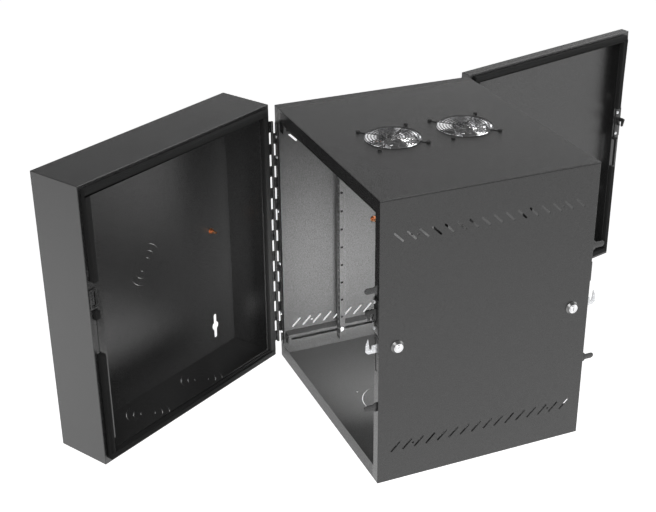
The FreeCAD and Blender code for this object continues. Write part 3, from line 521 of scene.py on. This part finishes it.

# %% [markdown]
# ## Rack rails
#
# The side leg of a rail has one small slot a unit, which the CAD cuts right through. The slots of
# the real rail read as dark marks, as the panel behind them lies in the leg's shadow, but the lit panel
# behind these would show through. So each one is closed here by a dark plate, sunk a quarter of a
# millimetre: painted shade, for the look only.

# %% Close the slots of the rails with painted shade
rack_units, unit_pitch = 12, 44.45 * MM
rail_overrun, leg_sheet = 6.0 * MM, 2.0 * MM
plate_size = Vector((1.5, 10.2, 4.8)) * MM
rail_nodes = ("rear_rail_hinge_side", "front_rail_hinge_side", "rear_rail_lock_side",
              "front_rail_lock_side")
for name in rail_nodes:
    low, high = shut_box(name, "centre")
    leg_x = high.x - leg_sheet / 2 if low.x > 0 else low.x + leg_sheet / 2
    bm = bmesh.new()
    bm.from_mesh(rounded(name, 0.3 * MM, 1))
    bm.transform(PLACE["centre"].inverted())
    leg_y = (low.y + high.y) / 2
    for unit in range(1, rack_units):
        spot = Vector((leg_x, leg_y, low.z + rail_overrun + unit * unit_pitch))
        plate = Matrix.Translation(spot) @ Matrix.Diagonal((*plate_size, 1))
        bmesh.ops.create_cube(bm, size=1, matrix=plate)
    mesh = to_mesh(bm, name + "_rounded")
    set_piece(name + "_piece", mesh, name, "centre")
    mesh.materials.append(FINISH["painted_slot_shade"])
    for face in mesh.polygons:
        # Faces inside the sheet's thickness and within a slot's length, the plate's or the slot's, take painted
        # shade.
        if abs(face.center.x - leg_x) < 0.9 * MM and abs(face.center.y - leg_y) < 5.3 * MM:
            face.material_index = 1
    # The hinge-side rails take the paler coat too, as painted light.
    if low.x > 0:
        mesh.materials[0] = painted_light_coat
    print(name, len(mesh.polygons), "faces")

# %% [markdown]
# ## Lock faces
#
# Each key lock shows a bright face on a darker cone. Both are turned profiles. The face is bright chrome and
# the cone a darker copy of it: painted shade for the darker surroundings that the cone mirrors. The bore
# in the middle takes the plug, which turns with the key and carries the hook cam, and has a key slot.

# %% Turn the locks
def lock(prefix):
    """Body and plug of one lock, seen on the lock side."""
    node = prefix + "_lock_barrel"
    low, high = shut_box(node, "centre")
    skin = centre_low.x
    middle = (low + high) / 2
    bore = (7.1 * MM, 7.6 * MM)
    cone = [(high.x - skin, bore[0]), (high.x - skin, 9.2 * MM)]
    cone += [(high.x - skin - turn * MM / 2, (9.0 + 0.4 * (turn % 2)) * MM) for turn in range(1, 14)]
    cone += [(0.0, 9.2 * MM), (0.0, 13.2 * MM), (-0.8 * MM, 13.2 * MM), (-1.2 * MM, 12.6 * MM),
             (-6.3 * MM, 9.9 * MM), (-6.85 * MM, 9.3 * MM), (-7.0 * MM, 8.8 * MM),
             (-7.0 * MM, bore[1]), (-6.7 * MM, bore[0])]
    mesh = turned(cone, prefix + "_lock_body", loop=True)
    mesh.transform(Matrix.Translation((skin, middle.y, middle.z)))
    set_piece(prefix + "_lock_body", mesh, node, "centre")
    # The outer face keeps the bright chrome; the cone and base take the darker copy, painted shade.
    mesh.materials.append(FINISH["chrome_painted_shade"])
    for face in mesh.polygons:
        face.material_index = 0 if face.normal.x < -0.8 and face.center.x < skin - 6 * MM else 1

    node = prefix + "_lock_plug"
    low, high = shut_box(node, "centre")
    mesh = turned([(low.x, 0), (low.x, 6.4 * MM), (low.x + 0.5 * MM, 6.95 * MM),
                   (high.x, 6.95 * MM), (high.x, 0)], prefix + "_plug")
    bm = bmesh.new()
    bmesh.ops.create_cube(bm, size=1, matrix=Matrix.Translation((low.x, 0, 0))
                          @ Matrix.Diagonal((8 * MM, 1.2 * MM, 7.5 * MM, 1)))
    mesh = carve(mesh, to_mesh(bm, "key_slot"))
    mesh.transform(Matrix.Translation((0, middle.y, middle.z)))
    set_piece(prefix + "_plug_piece", mesh, node, "centre")


for prefix in ("rear", "front"):
    lock(prefix)
    face_low, face_high = shut_box(prefix + "_lock_plug", "centre")
    print(prefix, "lock face at", [round(c / MM, 1) for c in face_low])

# %% [markdown]
# ## Fan impellers
#
# A real impeller has seven blades that are twisted, cambered and swept forward, on a round hub.
# Each blade is lofted from hub to tip through cross-sections that turn as they go out, which is
# how such a blade is designed. The impeller stays inside the CAD impeller's own cylinder.

# %% Loft the impellers
blade_count = 7
blade_rows = 9


def blade_section(share, root, tip):
    """Loop of (angle offset, radius, height) points round one blade at a share of its length."""
    radius = root + (tip - root) * share
    chord = (22 + 10 * share) * MM
    pitch = math.radians(42 - 15 * share)
    sweep = 0.3 * share ** 1.5
    upper, lower = [], []
    for step in range(11):
        place = step / 10 - 0.5
        camber = 2.0 * MM * (1 - 4 * place * place)
        half = 0.25 * MM + 0.45 * MM * math.sqrt(max(0.0, 1 - 4 * place * place))
        angle = sweep + place * chord * math.cos(pitch) / radius
        height = place * chord * math.sin(pitch) + camber
        upper.append((angle, radius, height + half))
        lower.append((angle, radius, height - half))
    return upper + lower[::-1]


def impeller(number, first_angle):
    """Hub, shaft and blades in the place of one CAD rotor."""
    node = "fan_%d_rotor" % number
    low, high = shut_box(node, "centre")
    centre = (low + high) / 2
    tip = (high.x - low.x) / 2
    blade_middle = high.z - 10.5 * MM
    hub = [(high.z - 6.5 * MM, 0), (high.z - 6.5 * MM, 10 * MM), (high.z - 5.2 * MM, 12 * MM),
           (high.z - 5.0 * MM, 17.5 * MM), (high.z - 5.6 * MM, 19.2 * MM), (high.z - 7.0 * MM, 20 * MM),
           (high.z - 15 * MM, 20 * MM), (high.z - 16 * MM, 19 * MM), (high.z - 16 * MM, 2.4 * MM),
           (low.z, 2.4 * MM), (low.z, 0)]
    mesh = turned(hub, "hub")
    mesh.transform(Matrix.Rotation(math.radians(-90), 4, "Y"))
    bm = bmesh.new()
    bm.from_mesh(mesh)
    for blade in range(blade_count):
        turn = first_angle + 2 * math.pi * blade / blade_count
        rows = []
        for row in range(blade_rows):
            loop = blade_section(row / (blade_rows - 1), 19 * MM, tip - 0.3 * MM)
            rows.append([bm.verts.new((r * math.cos(turn + a), r * math.sin(turn + a), blade_middle + h))
                         for a, r, h in loop])
        for near, far in zip(rows, rows[1:]):
            for corner in range(len(near)):
                after = (corner + 1) % len(near)
                bm.faces.new((near[corner], near[after], far[after], far[corner]))
        bm.faces.new(rows[0])
        bm.faces.new(rows[-1])
    mesh = to_mesh(bm, node + "_lofted")
    mesh.transform(Matrix.Translation((centre.x, centre.y, 0)))
    heights = [vertex.co.z for vertex in mesh.vertices]
    foot, top = (min(heights) - low.z) / MM, (max(heights) - high.z) / MM
    print(node, "from", round(foot, 2), "to", round(top, 2))
    set_piece("fan_%d_impeller_piece" % number, mesh, node, "centre")


for number in (1, 2):
    impeller(number, math.radians(44.6))
